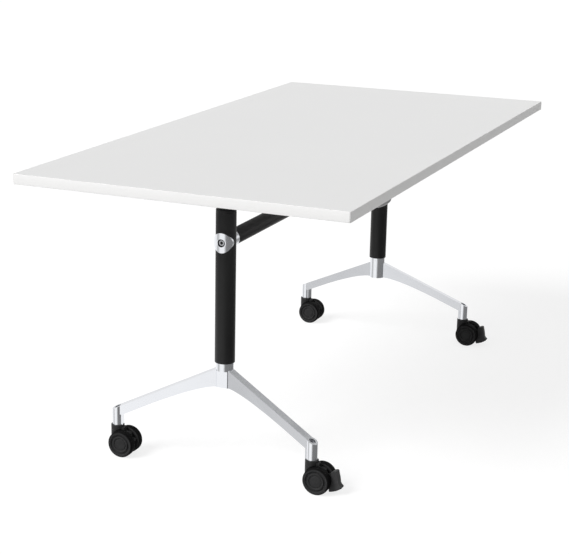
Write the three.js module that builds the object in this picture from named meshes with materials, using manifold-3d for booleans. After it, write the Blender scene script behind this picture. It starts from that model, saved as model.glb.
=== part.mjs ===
// A flip top training table on castors: a laminate board that tips up about two pivot heads,
// two columns joined by a crossbar, and two cast feet with a twin wheel castor on each arm.
// Millimetres, +Z up. The origin is on the floor under the middle of the table, X runs along
// the table from its near end to its far end, and -Y is the front, where the release lever is.
import * as THREE from 'three';
import { mergeVertices } from 'three/addons/utils/BufferGeometryUtils.js';
import Module from 'manifold-3d';

const wasm = await Module();
wasm.setup();

// Table top
const TOP_LENGTH = 1600;
const TOP_DEPTH = 800;
const TOP_HEIGHT = 710;
const BOARD_THICKNESS = 23.5;
const BAND_THICKNESS = 2;
const CORNER_RADIUS = 4;
const UNDERSIDE = TOP_HEIGHT - BOARD_THICKNESS;

// Columns and the crossbar between them
const COLUMN_X = 534;
const COLUMN_RADIUS = 24;
const COLUMN_WALL = 2;
const COLUMN_BOTTOM = 250.5;
const COLUMN_TOP = 612;
const CROSSBAR_Z = 543;
const CROSSBAR_RADIUS = 19;
const CROSSBAR_WALL = 2;
const CROSSBAR_END = 503;
const CAP_RADIUS = 23.5;
const CAP_SHELL_RADIUS = 27;
const CAP_LIP = 6;
const CAP_BOSS_RADIUS = 11.4;
const CAP_WELL_RADIUS = 9.4;
const CAP_FLOOR = 16;
const SADDLE_RING_RADIUS = 20.5;

// Flip pivot, a little behind the middle so that the top rests on its buffers
const PIVOT_Y = 8;
const PIVOT_Z = 650;
const HEAD_HALF_WIDTH = 20;
const HEAD_RADIUS = 33.5;
const COLLAR_HEIGHT = 6;
const NECK_HEIGHT = 10;
const KEEPER_FRONT = -58;
const KEEPER_TOP = 667;
const BUFFER_FRONT = -32;
const BUFFER_BACK = -10;
const BUFFER_HALF = 12;
const CHEEK_RADIUS = 15;
const CHEEK_REACH = 48;

// Channel shaped arms under the top
const ARM_FRONT = -345;
const ARM_BACK = 330;
const ARM_INNER_HALF = 20.8;
const ARM_WALL = 2.5;
const ARM_WEB = 2;
const ARM_DEPTH = 18;
const ARM_OUTER_HALF = ARM_INNER_HALF + ARM_WALL;
const WEB_UNDERSIDE = UNDERSIDE - ARM_WEB;

// Release rod, its lever and the latch bolts that it draws
const ROD_Y = -322;
const ROD_Z = 676;
const ROD_RADIUS = 4;
const ROD_HALF_LENGTH = 562;
const CRANK_RADIUS = 19;
const BOLT_HALF_WIDTH = 10;
const BOLT_THICKNESS = 5;
const BOLT_Z = ROD_Z - CRANK_RADIUS;
const BOLT_TIP = -54;
const BOLT_FRONT = -334;
const GUIDE_FRONT = -150;
const GUIDE_BACK = -134;
const TAB_FRONT = -105;
const TAB_BACK = -101;
const TAB_TOP = 680;
const LEVER_WIDTH = 102;
const LEVER_OFFSET = 21;
const PADDLE_FRONT = ROD_Y - 56;
const PADDLE_BACK = ROD_Y - 26;
const PADDLE_ARCH = 7;
const PADDLE_CORNER = 12;
const SPRING_Z = 671;
const SPRING_RADIUS = 6;
const SPRING_WIRE = 0.8;
const SPRING_TURNS = 7;

// Feet
const HUB_RADIUS = 21.5;
const HUB_BOTTOM = 190;
const NOSE_TOP = 231;
const NOSE_FLAT = 16.5;
const HUB_TOP = 300;
const FOOT_REACH_X = 66;
const FOOT_REACH_Y = 252;
const FOOT_ARM_WIDTH = 20.4;
const FOOT_TOP_AT_HUB = 242.4;
const FOOT_TOP_SLOPE = 0.4727;
const BELLY_START = 24;
const BELLY_KNEE = 85;
const ARM_TIP_DEPTH = 24;
const SOCKET_BOTTOM = 75;
const SOCKET_RADIUS = 12.8;
const RIB_HALF_WIDTH = 8;
const RIB_REACH = 14;
const BOLT_SEAT = HUB_BOTTOM + 24;

// Castors
const WHEEL_RADIUS = 32.5;
const WHEEL_INNER = 8.8;
const WHEEL_OUTER = 28.5;
const CASTOR_TRAIL = 20;
const HOOD_TOP = 74.6;
const HOOD_NECK_RADIUS = 16;
const HOOD_HALF_WIDTH = 8;
const AXLE_RADIUS = 4;
const STEM_RADIUS = 5.5;
const STEM_HEAD_RADIUS = 7;
const STEM_STEP = 80;
const STEM_TOP = 114;
const PEDAL_PIVOT_Y = -42;
const PEDAL_PIVOT_Z = 40;
const PEDAL_HALF_WIDTH = 8;
const TONGUE_HALF = 3;

// Fits between pieces
const GAP = 0.3;
const BOLT_RADIUS = 4;
const PIVOT_BOLT_RADIUS = 5;

const finishes = {
  laminate: new THREE.MeshStandardMaterial({ color: 0xe4e4e3, roughness: 0.45, metalness: 0 }),
  edging: new THREE.MeshStandardMaterial({ color: 0xeceae8, roughness: 0.5, metalness: 0 }),
  blackPaint: new THREE.MeshStandardMaterial({ color: 0x242526, roughness: 0.5, metalness: 0.2 }),
  polishedCast: new THREE.MeshStandardMaterial({ color: 0xd4d8de, roughness: 0.18, metalness: 1 }),
  zincSteel: new THREE.MeshStandardMaterial({ color: 0x8d9196, roughness: 0.35, metalness: 1 }),
  darkSteel: new THREE.MeshStandardMaterial({ color: 0x4a4c51, roughness: 0.5, metalness: 0.6 }),
  blackNylon: new THREE.MeshStandardMaterial({ color: 0x2b2b2c, roughness: 0.55, metalness: 0 }),
  greyNylon: new THREE.MeshStandardMaterial({ color: 0x6f7174, roughness: 0.55, metalness: 0 }),
  rubber: new THREE.MeshStandardMaterial({ color: 0x1c1c1d, roughness: 0.85, metalness: 0 }),
};

// A geometry with shared corners merged and collapsed faces dropped.
function weld(geometry) {
  geometry.deleteAttribute('normal');
  geometry.deleteAttribute('uv');
  const merged = mergeVertices(geometry, 1e-4);
  const corners = merged.index.array;
  const kept = [];
  for (let i = 0; i < corners.length; i += 3) {
    const [a, b, c] = [corners[i], corners[i + 1], corners[i + 2]];
    if (a !== b && b !== c && c !== a) kept.push(a, b, c);
  }
  merged.setIndex(kept);
  return merged;
}

function solid(geometry) {
  const welded = weld(geometry);
  return new wasm.Manifold(new wasm.Mesh({
    numProp: 3,
    vertProperties: new Float32Array(welded.attributes.position.array),
    triVerts: new Uint32Array(welded.index.array),
  }));
}

function geometryOf(form) {
  const mesh = form.getMesh();
  const geometry = new THREE.BufferGeometry();
  geometry.setAttribute('position', new THREE.BufferAttribute(mesh.vertProperties, 3));
  geometry.setIndex(new THREE.BufferAttribute(mesh.triVerts, 1));
  geometry.computeVertexNormals();
  return geometry;
}

function box([x0, x1], [y0, y1], [z0, z1]) {
  const geometry = new THREE.BoxGeometry(Math.abs(x1 - x0), Math.abs(y1 - y0), Math.abs(z1 - z0));
  return solid(geometry.translate((x0 + x1) / 2, (y0 + y1) / 2, (z0 + z1) / 2));
}

// Round bars standing up (Z) or lying along the table (X).
function barZ(radius, [x, y], [z0, z1], sides = 24) {
  const geometry = new THREE.CylinderGeometry(radius, radius, z1 - z0, sides);
  return solid(geometry.rotateX(Math.PI / 2).translate(x, y, (z0 + z1) / 2));
}

function barX(radius, [x0, x1], [y, z], sides = 16) {
  const geometry = new THREE.CylinderGeometry(radius, radius, Math.abs(x1 - x0), sides);
  return solid(geometry.rotateZ(Math.PI / 2).translate((x0 + x1) / 2, y, z));
}

// An outline drawn in Y and Z, given thickness along X.
function prismX(outline, [x0, x1]) {
  const shape = Array.isArray(outline) ? shapeOf(outline) : outline;
  const settings = { depth: Math.abs(x1 - x0), bevelEnabled: false, curveSegments: 8 };
  const turn = new THREE.Matrix4().makeBasis(
    new THREE.Vector3(0, 1, 0), new THREE.Vector3(0, 0, 1), new THREE.Vector3(1, 0, 0));
  const geometry = new THREE.ExtrudeGeometry(shape, settings).applyMatrix4(turn);
  return solid(geometry.translate(Math.min(x0, x1), 0, 0));
}

function prismZ(shape, [z0, z1], segments = 3) {
  const settings = { depth: z1 - z0, bevelEnabled: false, curveSegments: segments };
  return solid(new THREE.ExtrudeGeometry(shape, settings).translate(0, 0, z0));
}

function shapeOf(points) {
  return new THREE.Shape(points.map(([u, v]) => new THREE.Vector2(u, v)));
}

function roundedRectangle(halfX, halfY, radius) {
  const shape = new THREE.Shape();
  shape.absarc(halfX - radius, halfY - radius, radius, 0, Math.PI / 2);
  shape.absarc(radius - halfX, halfY - radius, radius, Math.PI / 2, Math.PI);
  shape.absarc(radius - halfX, radius - halfY, radius, Math.PI, 1.5 * Math.PI);
  shape.absarc(halfX - radius, radius - halfY, radius, 1.5 * Math.PI, 2 * Math.PI);
  return shape;
}

const table = new THREE.Group();

function add(name, form, finish) {
  const mesh = new THREE.Mesh(form.isBufferGeometry ? form : geometryOf(form), finish);
  mesh.name = name;
  table.add(mesh);
}

// The two ends of the table. `out` points from the middle towards that end.
const ends = [{ end: 'near', out: -1 }, { end: 'far', out: 1 }];
for (const place of ends) {
  place.x = place.out * COLUMN_X;
  // X at a distance outwards from the column's axis.
  place.at = (distance) => place.x + place.out * distance;
  place.across = (half) => [place.x - half, place.x + half];
}

// Laminate board and the band glued round its edge
function tableTop() {
  const halfX = TOP_LENGTH / 2;
  const halfY = TOP_DEPTH / 2;
  const height = [UNDERSIDE, TOP_HEIGHT];
  const inner = CORNER_RADIUS - BAND_THICKNESS;
  const board = prismZ(
    roundedRectangle(halfX - BAND_THICKNESS - GAP, halfY - BAND_THICKNESS - GAP, inner), height);
  const bandInside = prismZ(
    roundedRectangle(halfX - BAND_THICKNESS, halfY - BAND_THICKNESS, inner),
    [UNDERSIDE - 1, TOP_HEIGHT + 1]);
  const band = prismZ(roundedRectangle(halfX, halfY, CORNER_RADIUS), height).subtract(bandInside);
  add('table_top', board, finishes.laminate);
  add('edge_band', band, finishes.edging);
}

// Pressed channel under the top, with cheeks that drop down to the pivot bolt
function supportArm({ end, x, at, across }) {
  const bottom = UNDERSIDE - ARM_DEPTH;
  const cheekOutline = new THREE.Shape();
  cheekOutline.moveTo(ARM_FRONT, UNDERSIDE);
  cheekOutline.lineTo(ARM_FRONT, bottom);
  cheekOutline.lineTo(PIVOT_Y - CHEEK_REACH, bottom);
  cheekOutline.absarc(PIVOT_Y, PIVOT_Z, CHEEK_RADIUS, Math.PI * 1.18, Math.PI * 1.82);
  cheekOutline.lineTo(PIVOT_Y + CHEEK_REACH, bottom);
  cheekOutline.lineTo(ARM_BACK, bottom);
  cheekOutline.lineTo(ARM_BACK, UNDERSIDE);
  const cheek = (side) => prismX(cheekOutline, [x + side * ARM_INNER_HALF, x + side * ARM_OUTER_HALF]);
  const web = box(across(ARM_OUTER_HALF), [ARM_FRONT, ARM_BACK], [WEB_UNDERSIDE, UNDERSIDE]);
  const weldNut = barX(9, [at(-ARM_OUTER_HALF), at(-ARM_OUTER_HALF - 7)], [PIVOT_Y, PIVOT_Z], 6);
  const through = across(ARM_OUTER_HALF + 10);
  const arm = web.add(cheek(-1)).add(cheek(1)).add(weldNut)
    .subtract(barX(PIVOT_BOLT_RADIUS + GAP, through, [PIVOT_Y, PIVOT_Z]))
    .subtract(barX(ROD_RADIUS + 0.4, through, [ROD_Y, ROD_Z], 16));
  add(`support_arm_${end}`, arm, finishes.blackPaint);

  const pivot = barX(PIVOT_BOLT_RADIUS, [at(ARM_OUTER_HALF + 1), at(-ARM_OUTER_HALF - 9)], [PIVOT_Y, PIVOT_Z])
    .add(barX(9, [at(ARM_OUTER_HALF + GAP), at(ARM_OUTER_HALF + 7)], [PIVOT_Y, PIVOT_Z]))
    .subtract(barX(3.5, [at(ARM_OUTER_HALF + 3), at(ARM_OUTER_HALF + 8)], [PIVOT_Y, PIVOT_Z], 6));
  add(`pivot_bolt_${end}`, pivot, finishes.zincSteel);
}

// Casting on top of each column: it carries the pivot, the stops and the keeper for the latch
function pivotHead({ end, x, across }) {
  const collarTop = COLUMN_TOP + COLLAR_HEIGHT;
  const outline = new THREE.Shape();
  outline.moveTo(-COLUMN_RADIUS, collarTop + NECK_HEIGHT);
  outline.lineTo(COLUMN_RADIUS, collarTop + NECK_HEIGHT);
  outline.absarc(PIVOT_Y, PIVOT_Z, HEAD_RADIUS, -0.25, Math.PI / 2);
  outline.lineTo(BUFFER_FRONT - 4, PIVOT_Z + HEAD_RADIUS);
  outline.lineTo(BUFFER_FRONT - 4, KEEPER_TOP);
  outline.lineTo(KEEPER_FRONT, KEEPER_TOP);
  outline.lineTo(KEEPER_FRONT, PIVOT_Z - 4);
  const bufferSeat = PIVOT_Z + HEAD_RADIUS - 4;
  const pocketHalf = BOLT_THICKNESS / 2 + GAP;
  const head = prismX(outline, across(HEAD_HALF_WIDTH))
    .add(barZ(HEAD_HALF_WIDTH, [x, 0], [collarTop - 1, collarTop + NECK_HEIGHT + 2]))
    .add(barZ(COLUMN_RADIUS, [x, 0], [COLUMN_TOP, collarTop]))
    .add(barZ(COLUMN_RADIUS - COLUMN_WALL - 0.4, [x, 0], [COLUMN_TOP - 40, COLUMN_TOP + 1]))
    .subtract(barX(PIVOT_BOLT_RADIUS + GAP, across(HEAD_HALF_WIDTH + 1), [PIVOT_Y, PIVOT_Z]))
    .subtract(box(across(BUFFER_HALF), [BUFFER_FRONT, BUFFER_BACK], [bufferSeat, PIVOT_Z + HEAD_RADIUS + 1]))
    .subtract(box(across(BOLT_HALF_WIDTH + GAP), [KEEPER_FRONT - 1, KEEPER_FRONT + 8],
      [BOLT_Z - pocketHalf, BOLT_Z + pocketHalf]));
  add(`pivot_head_${end}`, head, finishes.blackPaint);

  const buffer = box(across(BUFFER_HALF - GAP), [BUFFER_FRONT + GAP, BUFFER_BACK - GAP],
    [bufferSeat, WEB_UNDERSIDE - 0.1]);
  add(`stop_buffer_${end}`, buffer, finishes.rubber);
}

// Steel tube, the plug welded in its lower end and the bolt that holds the foot to it
function column({ end, x, at }) {
  const inside = COLUMN_RADIUS - COLUMN_WALL;
  const crossHole = [0, CROSSBAR_Z];
  const tube = barZ(COLUMN_RADIUS, [x, 0], [COLUMN_BOTTOM, COLUMN_TOP])
    .subtract(barZ(inside, [x, 0], [COLUMN_BOTTOM - 1, COLUMN_TOP + 1]))
    .subtract(barX(CAP_BOSS_RADIUS + 0.4, [at(0), at(COLUMN_RADIUS + 2)], crossHole))
    .subtract(barX(BOLT_RADIUS + 0.6, [at(0), at(-COLUMN_RADIUS - 2)], crossHole));
  add(`column_${end}`, tube, finishes.blackPaint);

  const plug = barZ(inside - GAP, [x, 0], [HUB_TOP, HUB_TOP + 30])
    .subtract(barZ(5 + GAP, [x, 0], [HUB_TOP - 1, HUB_TOP + 31], 16));
  add(`column_plug_${end}`, plug, finishes.zincSteel);

  const bolt = barZ(5, [x, 0], [BOLT_SEAT - 2, HUB_TOP + 26], 16)
    .add(barZ(8.5, [x, 0], [BOLT_SEAT - 10, BOLT_SEAT]))
    .subtract(barZ(4, [x, 0], [BOLT_SEAT - 11, BOLT_SEAT - 5], 6));
  add(`foot_bolt_${end}`, bolt, finishes.zincSteel);
}

// Crossbar with, at each end, a saddle ring, a threaded insert, a saddle cap and a long bolt
function crossbar() {
  const axis = [0, CROSSBAR_Z];
  const tube = barX(CROSSBAR_RADIUS, [-CROSSBAR_END, CROSSBAR_END], axis, 24)
    .subtract(barX(CROSSBAR_RADIUS - CROSSBAR_WALL, [-CROSSBAR_END - 1, CROSSBAR_END + 1], axis, 24));
  add('crossbar', tube, finishes.blackPaint);

  for (const { end, out, x, at } of ends) {
    const columnRoom = barZ(COLUMN_RADIUS + GAP, [x, 0], [CROSSBAR_Z - 40, CROSSBAR_Z + 40]);
    const barEnd = out * CROSSBAR_END;
    const ring = barX(SADDLE_RING_RADIUS, [barEnd, x], axis, 24)
      .subtract(columnRoom)
      .subtract(barX(BOLT_RADIUS + 0.5, [barEnd - out, x], axis));
    add(`saddle_ring_${end}`, ring, finishes.polishedCast);

    const insert = barX(CROSSBAR_RADIUS - CROSSBAR_WALL - 0.4, [barEnd, barEnd - out * 28], axis)
      .subtract(barX(BOLT_RADIUS + GAP, [barEnd + out, barEnd - out * 29], axis));
    add(`crossbar_insert_${end}`, insert, finishes.zincSteel);

    const shell = barZ(CAP_SHELL_RADIUS, [x, 0], [CROSSBAR_Z - 30, CROSSBAR_Z + 30], 36);
    const cap = barX(CAP_RADIUS, [at(CAP_LIP), at(CAP_SHELL_RADIUS + 2)], axis, 28)
      .intersect(shell)
      .subtract(columnRoom)
      .add(barX(CAP_BOSS_RADIUS, [at(CAP_FLOOR - 3), at(COLUMN_RADIUS + 1.5)], axis))
      .subtract(barX(CAP_WELL_RADIUS, [at(CAP_FLOOR), at(CAP_SHELL_RADIUS + 3)], axis))
      .subtract(barX(BOLT_RADIUS + 0.5, [at(CAP_FLOOR - 4), at(CAP_FLOOR + 1)], axis));
    add(`saddle_cap_${end}`, cap, finishes.polishedCast);

    const bolt = barX(BOLT_RADIUS, [at(CAP_FLOOR + 0.5), barEnd - out * 24], axis, 16)
      .add(barX(7, [at(CAP_FLOOR), at(CAP_FLOOR + 8)], axis))
      .subtract(barX(3.4, [at(CAP_FLOOR + 4), at(CAP_FLOOR + 9)], axis, 6));
    add(`crossbar_bolt_${end}`, bolt, finishes.zincSteel);
  }
}

// Rod across the table, a crank in each arm, and the lever under the front edge at the near end
function release() {
  add('release_rod', barX(ROD_RADIUS, [-ROD_HALF_LENGTH, ROD_HALF_LENGTH], [ROD_Y, ROD_Z], 16),
    finishes.zincSteel);
  const grip = ROD_RADIUS + GAP;
  for (const { end, across } of ends) {
    const crank = barX(6.8, across(5), [ROD_Y, ROD_Z], 16)
      .add(box(across(5), [ROD_Y - 2.5, ROD_Y + 2.5], [BOLT_Z - 4.5, ROD_Z]))
      .subtract(barX(grip, across(6), [ROD_Y, ROD_Z], 16));
    add(`latch_crank_${end}`, crank, finishes.zincSteel);
  }

  const near = ends[0];
  const section = [
    [PADDLE_BACK, 674.3], [PADDLE_BACK, 677.5], [PADDLE_FRONT + 9, 669.4], [PADDLE_FRONT, 668],
    [PADDLE_FRONT, 663.6], [PADDLE_FRONT + 9, 666.2],
  ];
  const half = LEVER_WIDTH / 2;
  const shoulder = PADDLE_FRONT + PADDLE_ARCH;
  const plan = new THREE.Shape();
  plan.moveTo(-half, PADDLE_BACK + 1);
  plan.lineTo(-half, shoulder + PADDLE_CORNER);
  plan.quadraticCurveTo(-half, shoulder, PADDLE_CORNER - half, shoulder - 2);
  plan.quadraticCurveTo(0, PADDLE_FRONT - PADDLE_ARCH + 2, half - PADDLE_CORNER, shoulder - 2);
  plan.quadraticCurveTo(half, shoulder, half, shoulder + PADDLE_CORNER);
  plan.lineTo(half, PADDLE_BACK + 1);
  const leverX = near.x + LEVER_OFFSET;
  const arched = prismZ(plan, [650, UNDERSIDE], 8).translate([leverX, 0, 0]);
  let lever = prismX(section, [leverX - half, leverX + half]).intersect(arched);
  const strapOutline = [
    [ROD_Y, ROD_Z - 7], [ROD_Y, ROD_Z + 7], [PADDLE_BACK - 3, 676.8], [PADDLE_BACK - 3, 673.8],
  ];
  for (const side of [-1, 1]) {
    const width = [near.x + side * (ARM_OUTER_HALF + 1.5), near.x + side * (ARM_OUTER_HALF + 5.5)];
    lever = lever.add(prismX(strapOutline, width))
      .add(barX(7.5, width, [ROD_Y, ROD_Z]))
      .subtract(barX(grip, [width[0] - side, width[1] + side], [ROD_Y, ROD_Z], 16));
  }
  add('release_lever', lever, finishes.greyNylon);
}

// A round wire wound as one open coil along Y. Prints the least gap between its own turns.
function coil([x, z], [y0, y1], name) {
  const steps = SPRING_TURNS * 8;
  const sides = 5;
  const centre = (i) => {
    const angle = (i / steps) * SPRING_TURNS * 2 * Math.PI;
    return new THREE.Vector3(
      x + SPRING_RADIUS * Math.cos(angle),
      y0 + SPRING_WIRE + (y1 - y0 - 2 * SPRING_WIRE) * (i / steps),
      z + SPRING_RADIUS * Math.sin(angle));
  };
  const positions = [];
  for (let i = 0; i <= steps; i += 1) {
    const middle = centre(i);
    const outward = new THREE.Vector3(middle.x - x, 0, middle.z - z).normalize();
    for (let k = 0; k < sides; k += 1) {
      const angle = (k / sides) * 2 * Math.PI;
      positions.push(
        middle.x + SPRING_WIRE * Math.cos(angle) * outward.x,
        middle.y + SPRING_WIRE * Math.sin(angle),
        middle.z + SPRING_WIRE * Math.cos(angle) * outward.z);
    }
  }
  const faces = [];
  for (let i = 0; i < steps; i += 1) {
    for (let k = 0; k < sides; k += 1) {
      const next = (k + 1) % sides;
      const [a, b] = [i * sides + k, i * sides + next];
      const [c, d] = [a + sides, b + sides];
      faces.push(a, b, d, a, d, c);
    }
  }
  for (let k = 1; k < sides - 1; k += 1) {
    faces.push(0, k + 1, k);
    const last = steps * sides;
    faces.push(last, last + k, last + k + 1);
  }
  let least = Infinity;
  for (let i = 0; i <= steps; i += 1) {
    for (let j = i + 6; j <= steps; j += 1) {
      least = Math.min(least, centre(i).distanceTo(centre(j)) - 2 * SPRING_WIRE);
    }
  }
  console.log(`${name}: least gap between turns ${least.toFixed(2)} mm`);
  const geometry = new THREE.BufferGeometry();
  geometry.setAttribute('position', new THREE.Float32BufferAttribute(positions, 3));
  geometry.setIndex(faces);
  geometry.computeVertexNormals();
  return geometry;
}

// Sliding bolt that locks the top to the head, its guide under the arm and its spring
function latch({ end, x, across }) {
  const half = BOLT_THICKNESS / 2;
  const bolt = box(across(BOLT_HALF_WIDTH), [BOLT_FRONT, BOLT_TIP], [BOLT_Z - half, BOLT_Z + half])
    .add(box(across(8), [TAB_FRONT, TAB_BACK], [BOLT_Z, TAB_TOP]))
    .subtract(box(across(5.6), [ROD_Y - 4, ROD_Y + 4], [BOLT_Z - 5, BOLT_Z + 5]));
  add(`latch_bolt_${end}`, bolt, finishes.zincSteel);

  const guide = box(across(ARM_INNER_HALF - GAP), [GUIDE_FRONT, GUIDE_BACK], [BOLT_Z - 6, WEB_UNDERSIDE])
    .subtract(box(across(BOLT_HALF_WIDTH + GAP), [GUIDE_FRONT - 1, GUIDE_BACK + 1],
      [BOLT_Z - half - GAP, BOLT_Z + half + GAP]));
  add(`bolt_guide_${end}`, guide, finishes.blackNylon);

  const name = `latch_spring_${end}`;
  add(name, coil([x, SPRING_Z], [GUIDE_BACK + GAP, TAB_FRONT - GAP], name), finishes.zincSteel);
}

// Cast foot: a hub in the column, flat outside below it, and two arms that fall to a ribbed round socket
function foot({ end, out, x }) {
  const reach = Math.hypot(FOOT_REACH_X, FOOT_REACH_Y);
  const back = reach - SOCKET_RADIUS;
  const half = FOOT_ARM_WIDTH / 2;
  const topAt = (s) => FOOT_TOP_AT_HUB - FOOT_TOP_SLOPE * s;
  const side = new THREE.Shape();
  side.moveTo(0, HUB_BOTTOM);
  side.lineTo(BELLY_START, HUB_BOTTOM);
  side.quadraticCurveTo(BELLY_KNEE, HUB_BOTTOM - 8, back, topAt(back) - ARM_TIP_DEPTH);
  side.lineTo(reach, topAt(back) - ARM_TIP_DEPTH);
  side.lineTo(reach, topAt(reach));
  side.lineTo(0, topAt(0));
  const below = [[-60, 0], [reach + 60, 0], [reach + 60, topAt(reach + 60)], [-60, topAt(-60)]];
  const boss = barZ(SOCKET_RADIUS, [0, reach], [SOCKET_BOTTOM, topAt(back) + 1]);
  const ribWidth = [-RIB_HALF_WIDTH, RIB_HALF_WIDTH];
  const rib = box(ribWidth, [reach - RIB_REACH, reach], [SOCKET_BOTTOM, topAt(reach)]);

  const shave = [x + out * NOSE_FLAT, x + out * (HUB_RADIUS + 1)];
  let casting = barZ(HUB_RADIUS, [x, 0], [HUB_BOTTOM, HUB_TOP])
    .subtract(box(shave, [-HUB_RADIUS, HUB_RADIUS], [HUB_BOTTOM - 1, NOSE_TOP]));
  for (const row of [-1, 1]) {
    const arm = prismX(side, [-half, half])
      .add(boss)
      .add(rib)
      .intersect(prismX(below, [-half - 5, half + 5]));
    const turn = THREE.MathUtils.radToDeg(Math.atan2(-out * FOOT_REACH_X, row * FOOT_REACH_Y));
    casting = casting.add(arm.rotate([0, 0, turn]).translate([x, 0, 0]));
  }
  for (const row of [-1, 1]) {
    const socket = [x + out * FOOT_REACH_X, row * FOOT_REACH_Y];
    casting = casting.subtract(barZ(STEM_HEAD_RADIUS + 0.4, socket, [SOCKET_BOTTOM - 1, topAt(0)], 20));
  }
  casting = casting
    .subtract(barZ(9.5, [x, 0], [HUB_BOTTOM - 5, BOLT_SEAT]))
    .subtract(barZ(5.4, [x, 0], [HUB_BOTTOM, HUB_TOP + 1], 16));
  add(`foot_${end}`, casting, finishes.polishedCast);
}

// Twin wheel castor: hood, stem, axle, two wheels and, at the front, a brake pedal
function castor(name, x, y, braked) {
  const axle = [y - CASTOR_TRAIL, WHEEL_RADIUS];
  const pivot = [y + PEDAL_PIVOT_Y, PEDAL_PIVOT_Z];
  const across = (half) => [x - half, x + half];
  const neck = barZ(HOOD_NECK_RADIUS, [x, y], [40, HOOD_TOP])
    .subtract(barX(WHEEL_RADIUS + 1.2, across(20), axle, 28));
  const hood = barX(27, across(HOOD_HALF_WIDTH), axle, 20)
    .add(box(across(HOOD_HALF_WIDTH), [axle[0], y + 11], [WHEEL_RADIUS, 70]))
    .subtract(box(across(20), [y - 70, y - 35.5], [0, 80]))
    .add(neck)
    .add(box(across(TONGUE_HALF), [pivot[0], y - 34], [pivot[1] - 5, pivot[1] + 5]))
    .add(barX(5, across(TONGUE_HALF), pivot, 16))
    .add(barX(2.4, across(7.6), pivot, 12))
    .subtract(barZ(STEM_RADIUS + GAP, [x, y], [57, HOOD_TOP + 1], 16))
    .subtract(barX(AXLE_RADIUS + GAP, across(20), axle));
  add(`castor_hood_${name}`, hood, finishes.blackNylon);
  const stem = barZ(STEM_RADIUS, [x, y], [57.8, STEM_STEP + 5], 16)
    .add(barZ(STEM_HEAD_RADIUS, [x, y], [STEM_STEP, STEM_TOP], 20));
  add(`castor_stem_${name}`, stem, finishes.darkSteel);
  add(`castor_axle_${name}`, barX(AXLE_RADIUS, across(23), axle), finishes.zincSteel);

  const profile = [
    [0, WHEEL_OUTER - 1.5], [15, WHEEL_OUTER - 1.5], [16, WHEEL_OUTER], [28.5, WHEEL_OUTER],
    [31.3, WHEEL_OUTER - 1.2], [WHEEL_RADIUS, WHEEL_OUTER - 4], [WHEEL_RADIUS, 11], [31.3, WHEEL_INNER],
    [AXLE_RADIUS + 0.4, WHEEL_INNER], [AXLE_RADIUS + 0.4, 23.5], [0, 23.5],
  ];
  const points = profile.map(([r, along]) => new THREE.Vector2(r, along)).reverse();
  for (const [side, turn] of [['left', 1], ['right', -1]]) {
    const wheel = solid(new THREE.LatheGeometry(points, 24).rotateZ(turn * Math.PI / 2));
    add(`wheel_${side}_${name}`, wheel.translate([x, axle[0], axle[1]]), finishes.blackNylon);
  }
  if (braked) add(`brake_pedal_${name}`, brakePedal(x, y, pivot), finishes.blackNylon);
}

// Pedal between the wheels, clipped over the hood's trunnions: an upright fin and a low toe
function brakePedal(x, y, pivot) {
  const fin = [
    [-49.5, 52], [-49.5, 30], [-45.5, 26], [-45.5, 8.5], [-48, 5.8], [-55, 7.6], [-64, 11],
    [-72.5, 16], [-75.8, 19.2], [-76.4, 22.3], [-74.6, 25], [-69.8, 29], [-68.2, 41],
    [-64.4, 57], [-61.2, 59], [-55.5, 57.5], [-51.5, 55],
  ];
  const link = [[PEDAL_PIVOT_Y, 34.6], [PEDAL_PIVOT_Y, 45.4], [-51, 46], [-51, 32]];
  const shifted = (points) => points.map(([u, v]) => [y + u, v]);
  const across = (half) => [x - half, x + half];
  let pedal = prismX(shifted(fin), across(PEDAL_HALF_WIDTH));
  for (const side of [-1, 1]) {
    const tine = [x + side * (TONGUE_HALF + 0.4), x + side * PEDAL_HALF_WIDTH];
    pedal = pedal.add(prismX(shifted(link), tine))
      .add(barX(5.4, tine, pivot, 16));
  }
  return pedal.subtract(barX(2.8, across(12), pivot, 12));
}

tableTop();
for (const place of ends) {
  supportArm(place);
  pivotHead(place);
  latch(place);
  column(place);
  foot(place);
}
crossbar();
release();
for (const { end, out, x } of ends) {
  for (const [row, side] of [['front', -1], ['back', 1]]) {
    const socket = [x + out * FOOT_REACH_X, side * FOOT_REACH_Y];
    castor(`${end}_${row}`, socket[0], socket[1], row === 'front');
  }
}

export default table;
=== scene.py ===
import math

import bmesh
import bpy
from mathutils import Matrix, Vector


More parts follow.
